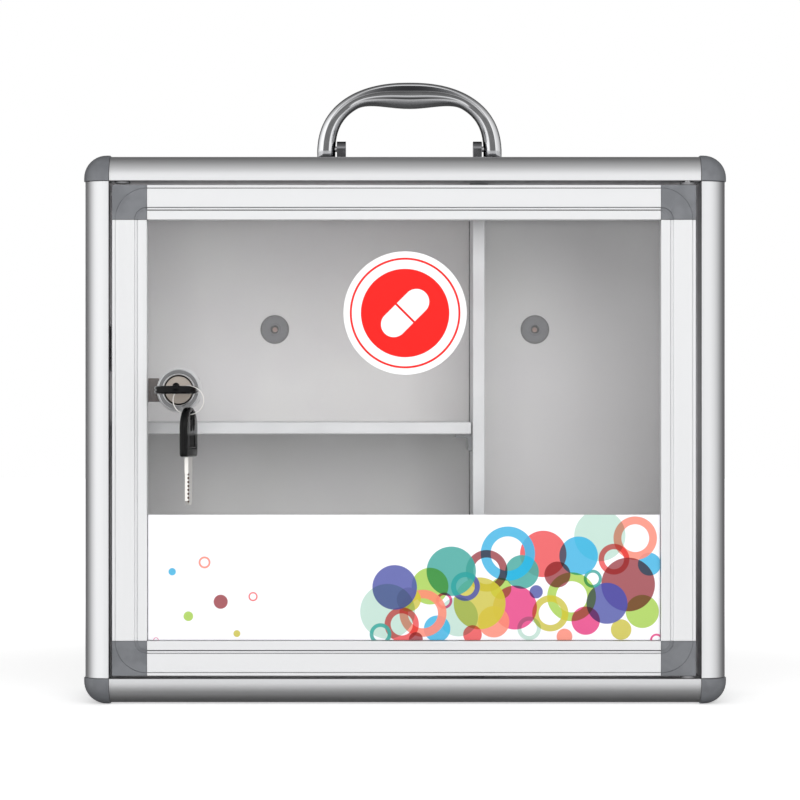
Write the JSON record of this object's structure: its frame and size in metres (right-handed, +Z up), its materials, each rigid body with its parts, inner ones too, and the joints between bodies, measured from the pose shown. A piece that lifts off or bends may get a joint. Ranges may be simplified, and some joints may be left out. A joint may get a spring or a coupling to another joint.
{
  "type": "medication lock box",
  "caption": "Aluminium wall or carry cabinet for medicines, with a glazed hinged door, a cam lock with keys, a shelf, a divider and a folding handle.",
  "frame": {"origin": "on the underside of the bottom wall, at mid width and mid depth of the case", "axes": "+X to the right seen from the front, along the width; +Y from the door to the back; +Z up"},
  "size_m": [0.3414, 0.1582, 0.3338],
  "materials": {
    "case_aluminium": "satin anodised",
    "door_aluminium": "bright satin anodised",
    "corner_plastic": "moulded, light sheen",
    "board": "smooth laminate",
    "back_sheet": "matt coated",
    "grommet_rubber": "matt",
    "seal_rubber": "matt",
    "glass": "clear, polished",
    "printed_film": "printed film",
    "nylon": "smooth",
    "steel": "zinc plated",
    "bronzed_steel": "dark plated",
    "chrome": "polished plating",
    "key_plastic": "moulded, semi gloss"
  },
  "bodies": {
    "case": {"wall_bottom": "case_aluminium", "wall_left": "case_aluminium", "wall_top": "case_aluminium", "wall_right": "case_aluminium", "corner_post_bottom_left": "corner_plastic", "corner_post_top_left": "corner_plastic", "corner_post_top_right": "corner_plastic", "corner_post_bottom_right": "corner_plastic", "back_panel": "back_sheet", "wall_grommet_left": "grommet_rubber", "wall_grommet_right": "grommet_rubber", "back_screw_bottom_left": "steel", "back_screw_top_left": "steel", "back_screw_bottom_right": "steel", "back_screw_top_right": "steel", "divider": "board", "divider_seal": "seal_rubber", "divider_channel_bottom": "case_aluminium", "divider_channel_top": "case_aluminium", "shelf": "board", "shelf_support_left": "corner_plastic", "shelf_support_right": "corner_plastic", "lock_keeper": "steel", "keeper_screw_lower": "steel", "keeper_screw_upper": "steel", "hinge_pin_bottom": "steel", "hinge_pin_top": "steel", "hinge_washer_bottom": "nylon", "hinge_washer_top": "nylon", "door_pad": "nylon", "handle_bracket_left": "chrome", "handle_bracket_right": "chrome", "handle_pivot_pin_left": "steel", "handle_pivot_pin_right": "steel", "bracket_screw_left": "steel", "bracket_screw_right": "steel"},
    "door": {"door_bottom_rail": "door_aluminium", "door_lock_stile": "door_aluminium", "door_top_rail": "door_aluminium", "door_hinge_stile": "door_aluminium", "door_corner_bottom_left": "corner_plastic", "door_corner_top_left": "corner_plastic", "door_corner_top_right": "corner_plastic", "door_corner_bottom_right": "corner_plastic", "door_glass": "glass", "glazing_gasket": "seal_rubber", "printed_label": "printed_film", "round_sticker": "printed_film", "lock_body": "chrome", "lock_washer": "seal_rubber", "lock_nut": "steel"},
    "key_and_cam": {"lock_plug": "steel", "lock_cam": "bronzed_steel", "cam_screw": "steel", "key_bow": "key_plastic", "key_blade": "steel"},
    "ring": {"key_ring": "chrome"},
    "spare_key": {"spare_key_bow": "key_plastic", "spare_key_blade": "steel"},
    "handle": {"handle": "chrome"}
  },
  "joints": [
    {"name": "door_hinge", "type": "hinge", "parent": "case", "child": "door", "pos_m": [0.1497, -0.055, 0.145], "axis": [0, 0, 1], "range_deg": [0, 110]},
    {"name": "lock_turn", "type": "hinge", "parent": "door", "child": "key_and_cam", "pos_m": [-0.1199, -0.0538, 0.166], "axis": [0, 1, 0], "range_deg": [0, 90]},
    {"name": "ring_swing", "type": "hinge", "parent": "key_and_cam", "child": "ring", "pos_m": [-0.1199, -0.0866, 0.166], "axis": [0, 1, 0], "range_deg": [-50, 0]},
    {"name": "spare_key_slide", "type": "hinge", "parent": "ring", "child": "spare_key", "pos_m": [-0.11392, -0.0866, 0.16145], "axis": [0, 1, 0], "range_deg": [-90, 0]},
    {"name": "handle_fold", "type": "hinge", "parent": "case", "child": "handle", "pos_m": [0.0024, 0, 0.297], "axis": [1, 0, 0], "range_deg": [-85, 85]}
  ],
  "couplings": [
    {"joint": "spare_key_slide", "follows": "lock_turn", "ratio": -1}
  ]
}
